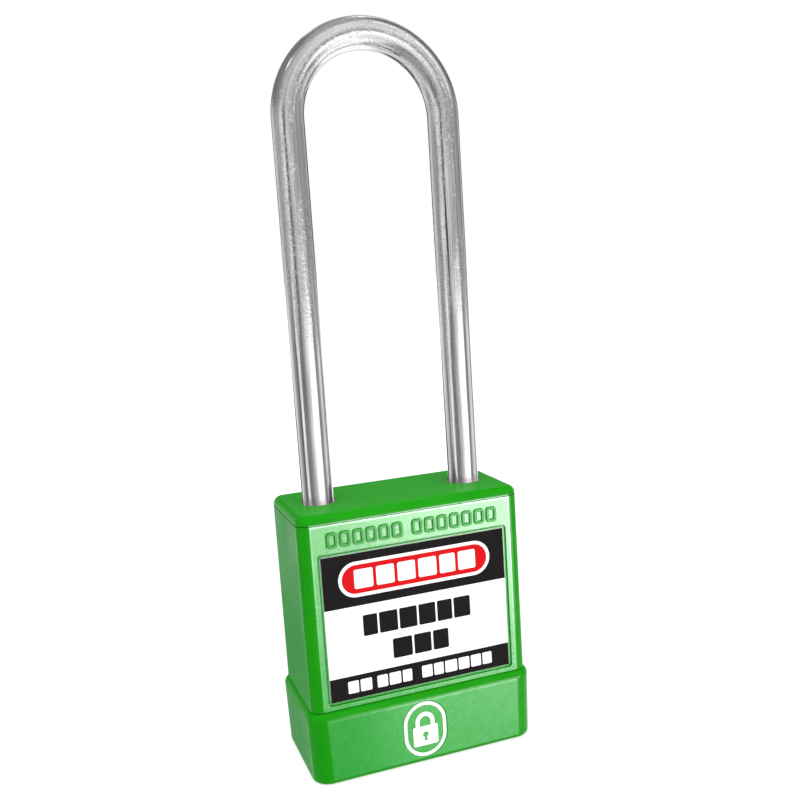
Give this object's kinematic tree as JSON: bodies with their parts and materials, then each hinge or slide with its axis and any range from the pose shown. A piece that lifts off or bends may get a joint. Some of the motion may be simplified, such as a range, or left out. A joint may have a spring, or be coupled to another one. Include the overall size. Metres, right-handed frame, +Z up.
{
  "type": "safety padlock",
  "caption": "Lockout padlock with a moulded body, a long bent-rod shackle, a pin-tumbler cylinder opened from below and ball locking on both legs.",
  "frame": {"origin": "middle of the underside of the base cap", "axes": "+Z up along the shackle, +X towards the short (toe) leg, front with its label faces -Y"},
  "size_m": [0.0388, 0.0196, 0.1191],
  "materials": {
    "green_nylon": "moulded, spark-eroded texture on flat faces and smooth at rounded edges",
    "label_film": "printed polyester film, satin",
    "plated_steel": "bright chrome plate over drawn steel, with fine draw marks",
    "bright_steel": "hardened, ground",
    "spring_steel": "drawn wire, zinc passivated",
    "cast_zinc": "pressure-cast zinc, as cast",
    "machined_brass": "turned and milled"
  },
  "bodies": {
    "padlock_body": {"body_shell": "green_nylon", "bottom_cap": "green_nylon", "front_label": "label_film", "back_label": "label_film", "shackle_spring": "spring_steel", "retaining_pin": "bright_steel", "lock_frame": "cast_zinc", "cylinder_housing": "machined_brass", "chamber_cover": "machined_brass", "cylinder_screw": "bright_steel", "driver_spring_1": "spring_steel", "driver_spring_2": "spring_steel", "driver_spring_3": "spring_steel", "driver_spring_4": "spring_steel", "driver_spring_5": "spring_steel", "driver_spring_6": "spring_steel"},
    "shackle_rod": {"shackle": "plated_steel"},
    "plug_and_cam": {"plug": "machined_brass", "plug_clip": "spring_steel", "ball_cam": "cast_zinc"},
    "ball_heel": {"heel_ball": "bright_steel"},
    "ball_toe": {"toe_ball": "bright_steel"},
    "driver_1": {"driver_pin_1": "machined_brass"},
    "key_pin_body_1": {"key_pin_1": "machined_brass"},
    "driver_2": {"driver_pin_2": "machined_brass"},
    "key_pin_body_2": {"key_pin_2": "machined_brass"},
    "driver_3": {"driver_pin_3": "machined_brass"},
    "key_pin_body_3": {"key_pin_3": "machined_brass"},
    "driver_4": {"driver_pin_4": "machined_brass"},
    "key_pin_body_4": {"key_pin_4": "machined_brass"},
    "driver_5": {"driver_pin_5": "machined_brass"},
    "key_pin_body_5": {"key_pin_5": "machined_brass"},
    "driver_6": {"driver_pin_6": "machined_brass"},
    "key_pin_body_6": {"key_pin_6": "machined_brass"}
  },
  "joints": [
    {"name": "shackle_lift", "type": "slide", "parent": "padlock_body", "child": "shackle_rod", "axis": [0, 0, 1], "range_m": [0, 0.0135], "deforming": ["shackle_spring"]},
    {"name": "plug_turn", "type": "hinge", "parent": "padlock_body", "child": "plug_and_cam", "pos_m": [0, 0, 0.0006], "axis": [0, 0, 1], "range_deg": [-90, 0]},
    {"name": "heel_ball_slide", "type": "slide", "parent": "padlock_body", "child": "ball_heel", "axis": [-1, 0, 0], "range_m": [0, 0.00145]},
    {"name": "toe_ball_slide", "type": "slide", "parent": "padlock_body", "child": "ball_toe", "axis": [1, 0, 0], "range_m": [0, 0.00145]},
    {"name": "driver_pin_1_slide", "type": "slide", "parent": "padlock_body", "child": "driver_1", "axis": [1, 0, 0], "range_m": [0, 0.0021], "stiffness_N_per_m": 60, "springref_m": -0.0015, "deforming": ["driver_spring_1"]},
    {"name": "driver_pin_2_slide", "type": "slide", "parent": "padlock_body", "child": "driver_2", "axis": [1, 0, 0], "range_m": [0, 0.0021], "stiffness_N_per_m": 60, "springref_m": -0.0015, "deforming": ["driver_spring_2"]},
    {"name": "driver_pin_3_slide", "type": "slide", "parent": "padlock_body", "child": "driver_3", "axis": [1, 0, 0], "range_m": [0, 0.0021], "stiffness_N_per_m": 60, "springref_m": -0.0015, "deforming": ["driver_spring_3"]},
    {"name": "driver_pin_4_slide", "type": "slide", "parent": "padlock_body", "child": "driver_4", "axis": [1, 0, 0], "range_m": [0, 0.0021], "stiffness_N_per_m": 60, "springref_m": -0.0015, "deforming": ["driver_spring_4"]},
    {"name": "driver_pin_5_slide", "type": "slide", "parent": "padlock_body", "child": "driver_5", "axis": [1, 0, 0], "range_m": [0, 0.0021], "stiffness_N_per_m": 60, "springref_m": -0.0015, "deforming": ["driver_spring_5"]},
    {"name": "driver_pin_6_slide", "type": "slide", "parent": "padlock_body", "child": "driver_6", "axis": [1, 0, 0], "range_m": [0, 0.0021], "stiffness_N_per_m": 60, "springref_m": -0.0015, "deforming": ["driver_spring_6"]},
    {"name": "key_pin_1_slide", "type": "slide", "parent": "plug_and_cam", "child": "key_pin_body_1", "axis": [0, 1, 0], "range_m": [-0.00055, 0]},
    {"name": "key_pin_2_slide", "type": "slide", "parent": "plug_and_cam", "child": "key_pin_body_2", "axis": [0, 1, 0], "range_m": [-0.00145, 0]},
    {"name": "key_pin_3_slide", "type": "slide", "parent": "plug_and_cam", "child": "key_pin_body_3", "axis": [0, 1, 0], "range_m": [-0.00085, 0]},
    {"name": "key_pin_4_slide", "type": "slide", "parent": "plug_and_cam", "child": "key_pin_body_4", "axis": [0, 1, 0], "range_m": [-0.00175, 0]},
    {"name": "key_pin_5_slide", "type": "slide", "parent": "plug_and_cam", "child": "key_pin_body_5", "axis": [0, 1, 0], "range_m": [-0.00115, 0]},
    {"name": "key_pin_6_slide", "type": "slide", "parent": "plug_and_cam", "child": "key_pin_body_6", "axis": [0, 1, 0], "range_m": [-0.00205, 0]}
  ],
  "couplings": [
    {"joint": "heel_ball_slide", "follows": "plug_turn", "m_per_rad": -0.0009231},
    {"joint": "toe_ball_slide", "follows": "plug_turn", "m_per_rad": -0.0009231}
  ]
}
